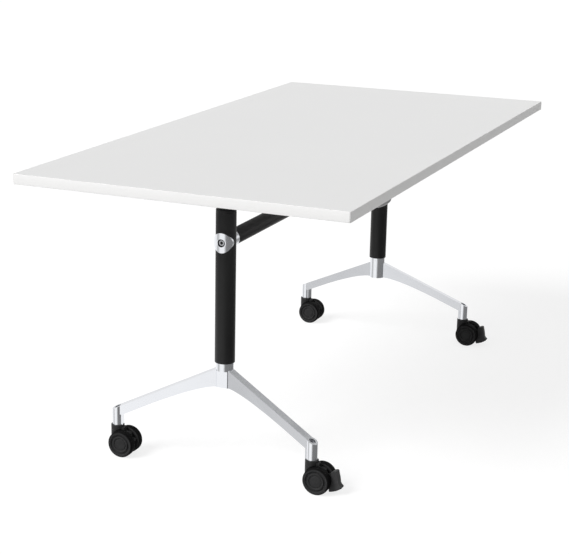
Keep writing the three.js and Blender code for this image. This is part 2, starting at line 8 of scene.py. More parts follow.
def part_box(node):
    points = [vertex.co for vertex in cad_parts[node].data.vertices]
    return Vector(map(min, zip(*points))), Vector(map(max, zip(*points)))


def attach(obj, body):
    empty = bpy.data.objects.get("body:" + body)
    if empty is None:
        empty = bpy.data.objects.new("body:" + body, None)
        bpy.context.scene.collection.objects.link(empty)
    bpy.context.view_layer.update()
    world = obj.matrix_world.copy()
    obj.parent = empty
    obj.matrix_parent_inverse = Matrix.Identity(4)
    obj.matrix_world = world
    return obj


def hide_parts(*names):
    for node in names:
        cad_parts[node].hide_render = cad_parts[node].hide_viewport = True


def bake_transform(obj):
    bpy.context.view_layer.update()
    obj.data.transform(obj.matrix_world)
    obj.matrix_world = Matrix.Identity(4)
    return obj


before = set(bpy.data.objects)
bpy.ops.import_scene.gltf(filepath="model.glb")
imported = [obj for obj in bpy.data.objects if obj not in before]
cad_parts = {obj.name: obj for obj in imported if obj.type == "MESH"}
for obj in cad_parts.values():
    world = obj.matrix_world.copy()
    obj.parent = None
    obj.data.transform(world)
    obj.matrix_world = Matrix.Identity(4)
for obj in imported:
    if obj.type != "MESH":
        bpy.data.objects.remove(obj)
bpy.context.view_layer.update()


# Feet. Each is one polished aluminium casting: a round hub that plugs up into the column, flat on
# its outside below it, and two flat topped arms that splay and fall to a ribbed castor socket.
class Wire:
    """One output of a shader node, so that shader maths reads as arithmetic."""

    def __init__(self, finish, socket):
        self.finish = finish
        self.socket = socket

    def math(self, operation, first, second):
        return self.finish.node("ShaderNodeMath", {"operation": operation}, {0: first, 1: second})

    def __add__(self, other):
        return self.math("ADD", self, other)

    def __sub__(self, other):
        return self.math("SUBTRACT", self, other)

    def __rsub__(self, other):
        return self.math("SUBTRACT", other, self)

    def __mul__(self, other):
        return self.math("MULTIPLY", self, other)

    __radd__ = __add__
    __rmul__ = __mul__


class Finish:
    """A material in the making: constants go on its shader, and node() adds what varies."""

    def __init__(self, name, **constants):
        self.material = bpy.data.materials.new(name)
        self.material.use_nodes = True
        self.tree = self.material.node_tree
        self.shader = self.tree.nodes["Principled BSDF"]
        for socket, value in constants.items():
            self.shader.inputs[socket.replace("_", " ")].default_value = value

    def node(self, kind, settings=None, inputs=None, output=0):
        made = self.tree.nodes.new(kind)
        for key, value in (settings or {}).items():
            setattr(made, key, value)
        for key, value in (inputs or {}).items():
            self.feed(made.inputs[key], value)
        return Wire(self, made.outputs[output])

    def feed(self, socket, value):
        if isinstance(value, Wire):
            self.tree.links.new(value.socket, socket)
        else:
            socket.default_value = value

    def grain(self, scale, detail=2.0, stretch=(1, 1, 1)):
        """Noise from 0 to 1 in object space, `scale` features to the metre."""
        place = self.node("ShaderNodeTexCoord", output="Object")
        place = self.node("ShaderNodeMapping", inputs={"Vector": place, "Scale": stretch})
        return self.node("ShaderNodeTexNoise", inputs={"Vector": place, "Scale": scale, "Detail": detail})

    def blend(self, amount, first, second):
        """A colour between two, by a value."""
        return self.node("ShaderNodeMix", {"data_type": "RGBA"}, {0: amount, 6: first, 7: second}, 2)

    def colour(self, wire):
        self.feed(self.shader.inputs["Base Color"], wire)

    def roughness(self, wire):
        self.feed(self.shader.inputs["Roughness"], wire)

    def bump(self, height, depth, strength=1.0):
        """Raises the surface by `depth` metres where `height` is 1."""
        inputs = {"Height": height, "Distance": depth, "Strength": strength}
        self.feed(self.shader.inputs["Normal"], self.node("ShaderNodeBump", inputs=inputs))


def polished_cast():
    finish = Finish("polished_cast_aluminium", Metallic=1.0)
    streak = finish.grain(90, 3.0, (1.0, 0.12, 1.0))
    cloud = finish.grain(14, 2.0)
    finish.colour(finish.blend(cloud, (0.83, 0.845, 0.88, 1), (0.89, 0.905, 0.935, 1)))
    finish.roughness(0.13 + streak * 0.07 + cloud * 0.03)
    finish.bump(finish.grain(420, 2.0) * 0.4 + streak, 0.00004, 0.5)
    return finish.material


def new_object(name, bm):
    """A linked object with outward faces, whose place is in its mesh."""
    bmesh.ops.recalc_face_normals(bm, faces=bm.faces)
    mesh = bpy.data.meshes.new(name)
    bm.to_mesh(mesh)
    bm.free()
    made = bpy.data.objects.new(name, mesh)
    bpy.context.scene.collection.objects.link(made)
    return made


def bake(thing):
    """Turns an object's modifiers into plain mesh."""
    evaluated = thing.evaluated_get(bpy.context.evaluated_depsgraph_get())
    mesh = bpy.data.meshes.new_from_object(evaluated)
    thing.modifiers.clear()
    thing.data = mesh
    return thing


def combine(thing, other, operation):
    """Joins to, cuts from or keeps only what is shared with another object, which is used up."""
    modifier = thing.modifiers.new("combine", "BOOLEAN")
    modifier.object = other
    modifier.operation = operation
    modifier.solver = "EXACT"
    bake(thing)
    bpy.data.objects.remove(other)
    return thing


def smooth(thing, angle=32):
    thing.data.shade_smooth()
    thing.data.set_sharp_from_angle(angle=math.radians(angle))
    return thing


def soften(thing, width, segments=3, angle=30):
    """Rounds every edge that is sharper than the angle."""
    bm = bmesh.new()
    bm.from_mesh(thing.data)
    bmesh.ops.remove_doubles(bm, verts=bm.verts, dist=1e-6)
    bmesh.ops.dissolve_limit(bm, angle_limit=math.radians(1.0), verts=bm.verts, edges=bm.edges)
    bm.to_mesh(thing.data)
    bm.free()
    modifier = thing.modifiers.new("soften", "BEVEL")
    modifier.width = width
    modifier.segments = segments
    modifier.limit_method = "ANGLE"
    modifier.angle_limit = math.radians(angle)
    smooth(bake(thing))
    level = thing.modifiers.new("level", "WEIGHTED_NORMAL")
    level.keep_sharp = True
    level.weight = 100
    return bake(thing)


AXES = {"X": (1, 2, 0), "Y": (0, 2, 1), "Z": (0, 1, 2)}


def point_on(axis, u, v, along):
    """A point from its two coordinates across an axis and its distance along it."""
    place = [0.0, 0.0, 0.0]
    for index, value in zip(AXES[axis], (u, v, along)):
        place[index] = value
    return Vector(place)


def prism(name, axis, outline, low, high):
    """A closed outline given thickness along an axis."""
    bm = bmesh.new()
    rings = [[bm.verts.new(point_on(axis, u, v, along)) for u, v in outline] for along in (low, high)]
    bm.faces.new(rings[0])
    bm.faces.new(rings[1])
    for i in range(len(outline)):
        j = (i + 1) % len(outline)
        bm.faces.new((rings[0][i], rings[0][j], rings[1][j], rings[1][i]))
    return new_object(name, bm)


def turned(name, axis, centre, profile, segments=96, closed=False):
    """A profile of (radius, distance along the axis) turned round the axis through a centre."""
    bm = bmesh.new()
    rings = []
    for radius, along in profile:
        ring = []
        for k in range(1 if radius == 0 else segments):
            angle = 2 * math.pi * k / segments
            u, v = centre[0] + radius * math.cos(angle), centre[1] + radius * math.sin(angle)
            ring.append(bm.verts.new(point_on(axis, u, v, along)))
        rings.append(ring)
    pairs = list(zip(rings, rings[1:]))
    if closed:
        pairs.append((rings[-1], rings[0]))
    for first, second in pairs:
        for k in range(segments):
            j = (k + 1) % segments
            if len(first) == 1 and len(second) == 1:
                continue
            if len(first) == 1:
                bm.faces.new((first[0], second[k], second[j]))
            elif len(second) == 1:
                bm.faces.new((first[k], first[j], second[0]))
            else:
                bm.faces.new((first[k], first[j], second[j], second[k]))
    return new_object(name, bm)


def arc(centre, radius, start, stop, steps):
    """Points on an arc, from one angle to another in degrees."""
    angles = [math.radians(start + (stop - start) * k / steps) for k in range(steps + 1)]
    return [(centre[0] + radius * math.cos(a), centre[1] + radius * math.sin(a)) for a in angles]


def bar(name, axis, centre, radius, low, high, segments=64):
    return prism(name, axis, arc(centre, radius, 0, 360 - 360 / segments, segments - 1), low, high)


def fit(thing, finish, body, slot, *nodes):
    """Gives a piece its finish, the body that carries it and the solids that it stands for."""
    thing.data.materials.clear()
    thing.data.materials.append(finish)
    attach(thing, body)
    if nodes:
        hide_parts(*nodes)


def middle(node):
    low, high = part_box(node)
    return (Vector(low) + Vector(high)) / 2


CAST = polished_cast()
ENDS = ("near", "far")
ROWS = ("front", "back")
HUB_RADIUS = 0.0215
NOSE_FLAT = 0.0165
NOSE_RISE = 0.041
ARM_HALF = 0.0102
ARM_TOP_AT_HUB = 0.2424
ARM_SLOPE = 0.4727
ARM_TIP_DEPTH = 0.024
BELLY_START = 0.024
BELLY_KNEE = 0.085
BELLY_DROP = 0.008
SOCKET_RADIUS = 0.0128
RIB_HALF = 0.008
RIB_REACH = 0.014
SOCKET_BORE = 0.0074
HUB_RISE = 0.115
HUB_BOLT_HEAD = 0.010
HUB_BOLT_WELL = 0.0095
CAST_EDGE = 0.0009
BEYOND = 0.05


def belly(start, knee, stop, steps=32):
    """Points on a curve from start to stop that is drawn towards a knee."""
    points = []
    for k in range(steps + 1):
        t = k / steps
        shares = ((1 - t) ** 2, 2 * t * (1 - t), t * t)
        places = zip(start, knee, stop)
        points.append(tuple(sum(s * p for s, p in zip(shares, place)) for place in places))
    return points


def foot_arm(name, centre, socket, bottom):
    """One arm, drawn along its own length and then turned to point at its socket."""
    across = socket - centre
    reach = math.hypot(across.x, across.y)
    top_at = lambda s: ARM_TOP_AT_HUB - ARM_SLOPE * s
    back = reach - SOCKET_RADIUS
    hub_bottom = bottom + HUB_RISE
    tip = top_at(back) - ARM_TIP_DEPTH
    side = [(0.0, hub_bottom)]
    side += belly((BELLY_START, hub_bottom), (BELLY_KNEE, hub_bottom - BELLY_DROP), (back, tip))
    side += [(reach, tip), (reach, top_at(reach)), (0.0, top_at(0.0))]
    arm = prism(name, "X", side, -ARM_HALF, ARM_HALF)
    boss = bar("socket_boss", "Z", (0.0, reach), SOCKET_RADIUS, bottom, top_at(back) + 0.001, 72)
    combine(arm, boss, "UNION")
    rib_back, rib_top = reach - RIB_REACH, top_at(reach)
    rib = [(rib_back, bottom), (reach, bottom), (reach, rib_top), (rib_back, rib_top)]
    combine(arm, prism("socket_rib", "X", rib, -RIB_HALF, RIB_HALF), "UNION")
    past = reach + BEYOND
    below = [(-BEYOND, 0.0), (past, 0.0), (past, top_at(past)), (-BEYOND, top_at(-BEYOND))]
    combine(arm, prism("below", "X", below, -BEYOND, BEYOND), "INTERSECT")
    turn = Matrix.Rotation(math.atan2(-across.x, across.y), 4, "Z")
    arm.data.transform(Matrix.Translation((centre.x, centre.y, 0)) @ turn)
    return arm


for end in ENDS:
    column = middle(f"column_{end}")
    low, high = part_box(f"foot_{end}")
    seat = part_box(f"foot_bolt_{end}")[0][2] + HUB_BOLT_HEAD
    hub_bottom = low[2] + HUB_RISE
    foot = turned(f"foot_casting_{end}", "Z", (column.x, column.y), [
        (0, seat), (HUB_BOLT_WELL, seat), (HUB_BOLT_WELL, hub_bottom), (HUB_RADIUS, hub_bottom),
        (HUB_RADIUS, high[2]), (0, high[2])], 72)
    out = math.copysign(1, column.x)
    flat, past = column.x + out * NOSE_FLAT, column.x + out * BEYOND
    shave = [(flat, -BEYOND), (past, -BEYOND), (past, BEYOND), (flat, BEYOND)]
    combine(foot, prism("shave", "Z", shave, hub_bottom - BEYOND, hub_bottom + NOSE_RISE), "DIFFERENCE")
    for row in ROWS:
        socket = middle(f"castor_stem_{end}_{row}")
        combine(foot, foot_arm(f"foot_arm_{end}_{row}", column, socket, low[2]), "UNION")
        reach = (low[2] - BEYOND, high[2])
        combine(foot, bar("stem_bore", "Z", (socket.x, socket.y), SOCKET_BORE, *reach, 40), "DIFFERENCE")
    soften(foot, CAST_EDGE, 3)
    fit(foot, CAST, "base", "polished_cast", f"foot_{end}")


# Castors. Black moulded nylon twin wheel castors on steel stems: a neck and web between two
# ringed wheels with soft treads, turning on a steel axle. The treads are darker than the wheels,
# partly as their own colour and partly as painted shade, and a thin inner edge of each is left
# light as a painted highlight. The front pair have a brake pedal, clipped over two trunnions
# on the web.
def moulded_nylon(name, dark, light):
    finish = Finish(name, Specular_IOR_Level=0.18)
    fine = finish.grain(1600, 2.0)
    cloud = finish.grain(45, 3.0)
    finish.colour(finish.blend(cloud, (dark, dark, dark * 1.02, 1), (light, light, light * 1.02, 1)))
    finish.roughness(0.40 + fine * 0.12 + cloud * 0.06)
    finish.bump(fine, 0.00012, 0.5)
    return finish.material


def wheel_nylon():
    """The same nylon, with a dark tread where the wheel's own attribute marks it. The dark is partly
    the soft tread's own colour and partly painted shade.
    """
    finish = Finish("nylon_with_tread_and_painted_shade", Specular_IOR_Level=0.07)
    fine = finish.grain(1600, 2.0)
    cloud = finish.grain(45, 3.0)
    tread = finish.node("ShaderNodeAttribute", {"attribute_name": "tread"}, output="Fac")
    body = finish.blend(cloud, (0.022, 0.022, 0.0224, 1), (0.032, 0.032, 0.0326, 1))
    # The tread's colour, far darker than the body's: partly its own colour, partly painted shade.
    soft = finish.blend(cloud, (0.0020, 0.0020, 0.0021, 1), (0.0034, 0.0034, 0.0035, 1))
    finish.colour(finish.blend(tread, body, soft))
    finish.roughness(0.40 + fine * 0.12 + cloud * 0.06 + tread * 0.18)
    finish.bump(fine, 0.00012, 0.5)
    return finish.material


def zinc_steel():
    finish = Finish("zinc_plated_steel", Metallic=1.0)
    fine = finish.grain(700, 3.0)
    cloud = finish.grain(60, 2.0)
    finish.colour(finish.blend(cloud, (0.40, 0.41, 0.43, 1), (0.52, 0.53, 0.54, 1)))
    finish.roughness(0.26 + fine * 0.12 + cloud * 0.1)
    finish.bump(fine, 0.00003, 0.4)
    return finish.material


def dark_steel():
    finish = Finish("blackened_steel", Metallic=0.55)
    fine = finish.grain(600, 3.0)
    cloud = finish.grain(80, 2.0)
    finish.colour(finish.blend(cloud, (0.075, 0.076, 0.082, 1), (0.10, 0.10, 0.108, 1)))
    finish.roughness(0.45 + fine * 0.12 + cloud * 0.08)
    finish.bump(fine, 0.00004, 0.4)
    return finish.material


NYLON = moulded_nylon("black_moulded_nylon", 0.017, 0.026)
PEDAL_NYLON = moulded_nylon("charcoal_moulded_nylon", 0.029, 0.041)
WHEEL_NYLON = wheel_nylon()
STEEL = zinc_steel()
DARK_STEEL = dark_steel()
WHEEL_RADIUS = 0.0325
WHEEL_GAP = 0.0012
TREAD_RADIUS = 0.030
# How far out from the castor's middle the tread stays light: a painted highlight on its inner edge.
PAINTED_HIGHLIGHT_OUT = 0.0098
NECK_RADIUS = 0.016
NECK_BOTTOM = 0.040
WEB_HALF = 0.008
WEB_RADIUS = 0.027
WEB_FRONT = 0.0355
WEB_BACK = 0.011
WEB_TOP = 0.070
TONGUE_HALF = 0.003
TONGUE_ROUND = 0.005
TRUNNION_RADIUS = 0.0024
TRUNNION_HALF = 0.0076
AXLE_HOLE = 0.0042
STEM_HOLE = 0.0057
STEM_HOLE_FLOOR = 0.0572
STEM_SHANK = 0.0055
STEM_STEP = 0.080
PEDAL_PIVOT = (-0.042, 0.040)
PEDAL_HALF = 0.008
TINE_INNER = 0.0034
EYE_RADIUS = 0.0054
EYE_HOLE = 0.0027
PIN_EDGE = 0.0008
ASIDE = 0.03


def wheel_profile():
    """Radius and distance out from the castor's middle, from the cap round the tread to the axle."""
    face = [
        (0, 27.2), (6, 27.3), (13.0, 27.1), (13.8, 26.7), (14.2, 26.0), (15.4, 26.0), (15.8, 26.8),
        (16.4, 27.6), (17.2, 28.0), (18.5, 28.2), (19.6, 28.0), (20.2, 27.4), (20.6, 25.0), (23.8, 25.0),
        (24.8, 27.4), (25.6, 28.3), (26.6, 28.5), (28.6, 28.5), (30.2, 28.2), (31.4, 27.4), (32.2, 26.0),
        (32.5, 24.4), (32.5, 18.9), (32.2, 18.6), (32.2, 17.6), (32.5, 17.3), (32.5, 11.6), (32.2, 10.2),
        (31.4, 9.2), (30.2, 8.8), (27.4, 8.8), (27.0, 11.0), (9.0, 11.0), (8.6, 8.8), (4.4, 8.8),
        (4.4, 23.5), (0, 23.5)]
    return [(radius / 1000, out / 1000) for radius, out in face]


def mark_tread_and_shade(wheel, stem, axle):
    """Writes on a wheel which part of it is the dark tread, partly its own colour and partly painted
    shade; a thin inner edge is left out, to stay light as a painted highlight.
    """
    tread = wheel.data.attributes.new("tread", "FLOAT", "POINT")
    for vertex, mark in zip(wheel.data.vertices, tread.data):
        radius = math.hypot(vertex.co.y - axle.y, vertex.co.z - axle.z)
        # A thin inner edge of each tread is left unmarked and light, as a painted highlight.
        mark.value = float(radius > TREAD_RADIUS and abs(vertex.co.x - stem.x) > PAINTED_HIGHLIGHT_OUT)


def castor_hood(name, stem, axle, pivot):
    """Neck over the wheels, cut to clear them, on a web that holds the axle and the pedal."""
    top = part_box(f"castor_hood_{name}")[1][2]
    neck = turned(f"hood_{name}", "Z", (stem.x, stem.y), [
        (0, NECK_BOTTOM), (NECK_RADIUS, NECK_BOTTOM), (NECK_RADIUS, top - 0.0012),
        (NECK_RADIUS - 0.0004, top - 0.0004), (NECK_RADIUS - 0.0012, top), (0, top)], 72)
    across = lambda half: (stem.x - half, stem.x + half)
    at_axle, at_pivot = (axle.y, axle.z), (pivot.y, pivot.z)
    room = bar("wheel_room", "X", at_axle, WHEEL_RADIUS + WHEEL_GAP, *across(ASIDE), 120)
    combine(neck, room, "DIFFERENCE")
    web = bar("web", "X", at_axle, WEB_RADIUS, *across(WEB_HALF), 64)
    back, front = stem.y + WEB_BACK, stem.y - WEB_FRONT
    block = [at_axle, (back, axle.z), (back, WEB_TOP), (axle.y, WEB_TOP)]
    combine(web, prism("block", "X", block, *across(WEB_HALF)), "UNION")
    cut = [(front, 0.0), (front, top), (front - ASIDE, top), (front - ASIDE, 0.0)]
    combine(web, prism("cut", "X", cut, *across(ASIDE)), "DIFFERENCE")
    combine(neck, web, "UNION")
    root = front + 0.002
    tongue = [(root, pivot.z - TONGUE_ROUND), (root, pivot.z + TONGUE_ROUND)]
    tongue += arc(at_pivot, TONGUE_ROUND, 90, 270, 16)
    combine(neck, prism("tongue", "X", tongue, *across(TONGUE_HALF)), "UNION")
    combine(neck, bar("trunnion", "X", at_pivot, TRUNNION_RADIUS, *across(TRUNNION_HALF), 24), "UNION")
    combine(neck, bar("axle_hole", "X", at_axle, AXLE_HOLE, *across(ASIDE), 32), "DIFFERENCE")
    bore = bar("stem_hole", "Z", (stem.x, stem.y), STEM_HOLE, STEM_HOLE_FLOOR, top + ASIDE, 32)
    combine(neck, bore, "DIFFERENCE")
    return soften(neck, 0.0005, 2)


def brake_pedal(name, stem, pivot):
    """Fork over the hood's trunnions, an upright fin and a low toe, between the wheels."""
    fin = [(-49.5, 52), (-49.5, 30), (-45.5, 26), (-45.5, 9)] + arc((-48.4, 8.8), 2.9, 345, 265, 5)
    fin += [(-55, 7.6), (-64, 11), (-71.4, 15.4)] + arc((-73.0, 20.4), 3.4, 275, 115, 9)
    fin += [(-71.6, 26.0), (-69.9, 29.6), (-68.2, 41), (-65.2, 54.6)]
    fin += arc((-61.6, 55.6), 3.4, 160, 75, 6) + [(-55.5, 57.3), (-51.5, 54.8)]
    link = [(-42, 34.6), (-42, 45.4), (-51, 46), (-51, 32)]
    placed = lambda points: [(stem.y + u / 1000, v / 1000) for u, v in points]
    pedal = prism(f"pedal_{name}", "X", placed(fin), stem.x - PEDAL_HALF, stem.x + PEDAL_HALF)
    for side in (-1, 1):
        tine = sorted((stem.x + side * TINE_INNER, stem.x + side * PEDAL_HALF))
        combine(pedal, prism("tine", "X", placed(link), *tine), "UNION")
        combine(pedal, bar("eye", "X", (pivot.y, pivot.z), EYE_RADIUS, *tine, 32), "UNION")
    hole = bar("eye_hole", "X", (pivot.y, pivot.z), EYE_HOLE, stem.x - ASIDE, stem.x + ASIDE, 24)
    combine(pedal, hole, "DIFFERENCE")
    return soften(pedal, 0.0009, 3)


def pin_profile(radius, low, high):
    """A plain round pin, its two ends chamfered."""
    narrow = radius - PIN_EDGE
    return [
        (0, low), (narrow, low), (radius, low + PIN_EDGE), (radius, high - PIN_EDGE), (narrow, high),
        (0, high)]


for end in ENDS:
    for row in ROWS:
        name = f"{end}_{row}"
        stem = middle(f"castor_stem_{name}")
        axle = middle(f"castor_axle_{name}")
        pivot = Vector((stem.x, stem.y + PEDAL_PIVOT[0], PEDAL_PIVOT[1]))
        body = f"castor_{name}"
        fit(castor_hood(name, stem, axle, pivot), NYLON, body, "black_nylon", f"castor_hood_{name}")
        for side in ("left", "right"):
            node = f"wheel_{side}_{name}"
            out = math.copysign(1, middle(node).x - stem.x)
            profile = [(radius, stem.x + out * along) for radius, along in wheel_profile()]
            wheel = smooth(turned(f"{side}_wheel_{name}", "X", (axle.y, axle.z), profile, 96), 38)
            mark_tread_and_shade(wheel, stem, axle)
            fit(wheel, WHEEL_NYLON, f"{side}_wheel_{name}", "black_nylon", node)
        if row == "front":
            pedal = brake_pedal(name, stem, pivot)
            fit(pedal, PEDAL_NYLON, f"pedal_{name}", "black_nylon", f"brake_pedal_{name}")
        low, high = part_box(f"castor_axle_{name}")
        profile = pin_profile((high[2] - low[2]) / 2, low[0], high[0])
        pin = turned(f"axle_pin_{name}", "X", (axle.y, axle.z), profile, 40)
        fit(smooth(pin), STEEL, body, "zinc_steel", f"castor_axle_{name}")
        low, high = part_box(f"castor_stem_{name}")
        radius = (high[1] - low[1]) / 2
        stub = turned(f"stem_{name}", "Z", (stem.x, stem.y), [
            (0, low[2]), (STEM_SHANK - 0.0006, low[2]), (STEM_SHANK, low[2] + 0.0006),
            (STEM_SHANK, STEM_STEP), (radius, STEM_STEP), (radius, high[2] - PIN_EDGE),
            (radius - PIN_EDGE, high[2]), (0, high[2])], 40)
        fit(smooth(stub), DARK_STEEL, "base", "dark_steel", f"castor_stem_{name}")


# Columns. Round steel tube with a textured black powder coat, slipped over the foot's hub and
# closed at the top by the pivot head.
def powder_coat():
    finish = Finish("black_powder_coat", Specular_IOR_Level=0.25)
    peel = finish.grain(900, 3.0)
    cloud = finish.grain(20, 2.0)
    finish.colour(finish.blend(cloud, (0.0085, 0.0085, 0.0086, 1), (0.0115, 0.0115, 0.0116, 1)))
    finish.roughness(0.38 + peel * 0.10 + cloud * 0.05)
    finish.bump(peel, 0.00010, 0.45)
    return finish.material


PAINT = powder_coat()
TUBE_WALL = 0.002
TUBE_EDGE = 0.0008


def tube(name, axis, centre, radius, low, high, segments=96):
    """A tube with a small round on the outer edge of each cut end."""
    inner, lip, turn = radius - TUBE_WALL, TUBE_EDGE, 0.3 * TUBE_EDGE
    profile = [
        (inner, low), (radius - lip, low), (radius - turn, low + turn), (radius, low + lip),
        (radius, high - lip), (radius - turn, high - turn), (radius - lip, high), (inner, high)]
    return smooth(turned(name, axis, centre, profile, segments, closed=True), 50)


for end in ENDS:
    low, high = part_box(f"column_{end}")
    radius = (high[1] - low[1]) / 2
    centre = middle(f"column_{end}")
    post = tube(f"column_tube_{end}", "Z", (centre.x, centre.y), radius, low[2], high[2], 128)
    fit(post, PAINT, "base", "black_paint", f"column_{end}")


# Crossbar. The same coated tube, held between the columns by a long bolt at each end that runs
# through a polished saddle cap, the column and a polished saddle ring into a threaded insert.
low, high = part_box("crossbar")
bar_z = middle("crossbar").z
rail = tube("crossbar_tube", "X", (0.0, bar_z), (high[2] - low[2]) / 2, low[0], high[0])
fit(rail, PAINT, "base", "black_paint", "crossbar")

CAP_SHELL = 0.027
CAP_BOSS = 0.0114
CAP_BOSS_FACE = 0.0255
CAP_WELL = 0.0094
CAP_FLOOR = 0.016
CAP_LIP = 0.006
RING_RADIUS = 0.0205
SADDLE_BORE = 0.0241
PAST_SADDLE = 0.06

for end in ENDS:
    centre = middle(f"column_{end}")
    out = math.copysign(1, centre.x)
    upright = lambda name, radius, segments: bar(
        name, "Z", (centre.x, 0.0), radius, bar_z - PAST_SADDLE, bar_z + PAST_SADDLE, segments)
    between = lambda start, stop: sorted((centre.x + out * start, centre.x + out * stop))
    low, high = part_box(f"saddle_cap_{end}")
    span = between(CAP_LIP, PAST_SADDLE)
    cap = bar(f"column_saddle_{end}", "X", (0.0, bar_z), (high[2] - low[2]) / 2, *span, 96)
    combine(cap, upright("shell", CAP_SHELL, 160), "INTERSECT")
    combine(cap, upright("column_room", SADDLE_BORE, 144), "DIFFERENCE")
    pot = between(CAP_FLOOR - 0.003, CAP_BOSS_FACE)
    combine(cap, bar("pot", "X", (0.0, bar_z), CAP_BOSS, *pot, 48), "UNION")
    well = between(CAP_FLOOR, PAST_SADDLE)
    combine(cap, bar("well", "X", (0.0, bar_z), CAP_WELL, *well, 64), "DIFFERENCE")
    soften(cap, 0.0007, 3)
    fit(cap, CAST, "base", "polished_cast", f"saddle_cap_{end}")

    low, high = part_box(f"saddle_ring_{end}")
    bar_end = low[0] if out > 0 else high[0]
    span = sorted((bar_end, centre.x))
    ring = bar(f"crossbar_saddle_{end}", "X", (0.0, bar_z), RING_RADIUS, *span, 96)
    combine(ring, upright("column_room", SADDLE_BORE, 144), "DIFFERENCE")
    soften(ring, 0.0005, 2)
    fit(ring, CAST, "base", "polished_cast", f"saddle_ring_{end}")

    low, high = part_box(f"crossbar_bolt_{end}")
    face = high[0] if out > 0 else low[0]
    stop = low[0] if out > 0 else high[0]
    at = lambda depth: face - out * depth
    bolt = turned(f"long_bolt_{end}", "X", (0.0, bar_z), [
        (0, at(0.0042)), (0.0033, at(0.004)), (0.0034, at(0.0003)), (0.0038, at(0.0)), (0.0062, at(0.0)),
        (0.0068, at(0.0004)), (0.0070, at(0.0012)), (0.0070, at(0.008)), (0.004, at(0.008)), (0.004, stop),
        (0, stop)], 48)
    fit(smooth(bolt), STEEL, "base", "zinc_steel", f"crossbar_bolt_{end}")


# Pieces that the top hides: pivot heads, arms, latch and plugs. Their edges are broken as a
# casting's or a pressing's are, over the shapes that the frame holds.
def rubber():
    finish = Finish("buffer_rubber")
    fine = finish.grain(1200, 2.0)
    finish.colour(finish.blend(fine, (0.010, 0.010, 0.010, 1), (0.018, 0.018, 0.018, 1)))
    finish.roughness(0.72 + fine * 0.15)
    finish.bump(fine, 0.00015, 0.6)
    return finish.material


def grey_nylon():
    finish = Finish("grey_nylon", IOR=1.5)
    fine = finish.grain(1500, 2.0)
    cloud = finish.grain(30, 2.0)
    finish.colour(finish.blend(cloud, (0.36, 0.36, 0.365, 1), (0.40, 0.40, 0.405, 1)))
    finish.roughness(0.44 + fine * 0.14)
    finish.bump(fine, 0.00012, 0.5)
    return finish.material


RUBBER = rubber()
GREY = grey_nylon()


def broken_edges(node, name, width, segments=2):
    """A copy of a solid with its edges rounded."""
    copy = bpy.data.objects.new(name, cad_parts[node].data.copy())
    bpy.context.scene.collection.objects.link(copy)
    return soften(copy, width, segments)


for end in ENDS:
    for node, name, finish, body, slot, width in (
            ("pivot_head", "column_head", PAINT, "base", "black_paint", 0.0012),
            ("stop_buffer", "rest_buffer", RUBBER, "base", "buffer_rubber", 0.0010),
            ("column_plug", "tube_plug", STEEL, "base", "zinc_steel", 0.0006),
            ("foot_bolt", "hub_bolt", STEEL, "base", "zinc_steel", 0.0004),
            ("crossbar_insert", "tube_insert", STEEL, "base", "zinc_steel", 0.0006),
            ("support_arm", "top_channel", PAINT, "top", "black_paint", 0.0006),
            ("pivot_bolt", "flip_bolt", STEEL, "top", "zinc_steel", 0.0004),
            ("bolt_guide", "slide_guide", NYLON, "top", "black_nylon", 0.0008),
            ("latch_crank", "rod_crank", STEEL, "release", "zinc_steel", 0.0004),
            ("latch_bolt", "lock_bolt", STEEL, f"latch_{end}", "zinc_steel", 0.0005)):
        fit(broken_edges(f"{node}_{end}", f"{name}_{end}", width), finish, body, slot, f"{node}_{end}")

low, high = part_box("release_rod")
rod_centre = middle("release_rod")
profile = pin_profile((high[1] - low[1]) / 2, low[0], high[0])
rod = turned("pull_rod", "X", (rod_centre.y, rod_centre.z), profile, 32)
fit(smooth(rod), STEEL, "release", "zinc_steel", "release_rod")


# Release lever. A grey nylon moulding under the front edge: a thin paddle, bowed forwards, with
# a rolled lip for the fingers, and two straps that clip over the rod on either side of the arm.
PADDLE_BOW = 0.006
PADDLE_CORNER = 0.013
PADDLE_BACK = 0.026
CORNER_TURN = 0.97
LIP_RADIUS = 0.0022
PLATE_HALF = 0.0016
STRAP_INNER = 0.0248
STRAP_OUTER = 0.0288
STRAP_EYE = 0.0075
STRAP_OVERLAP = 0.003
ROD_HOLE = 0.0043

low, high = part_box("release_lever")
lever_x, arm_x = middle("release_lever").x, middle("column_near").x
lever_half = (high[0] - low[0]) / 2
paddle_front = low[1]
paddle_back = rod_centre.y - PADDLE_BACK
back_z, lip_z = rod_centre.z - 0.0001, low[2] + LIP_RADIUS
fall = (back_z - lip_z) / (paddle_back - paddle_front - LIP_RADIUS)


def paddle_section(x):
    """The paddle cut across at one place: a thin plate that ends in a round lip."""
    past = max(0.0, abs(x) - lever_half + PADDLE_CORNER) / PADDLE_CORNER
    corner = PADDLE_CORNER * (1 - math.sqrt(1 - CORNER_TURN * past * past))
    front = paddle_front + PADDLE_BOW * (x / lever_half) ** 2 + corner
    lip = (front + LIP_RADIUS, lip_z + fall * (front - paddle_front))
    ring = arc(lip, LIP_RADIUS, 75, 330, 14)
    return [(paddle_back, back_z + PLATE_HALF)] + ring + [(paddle_back, back_z - PLATE_HALF)]


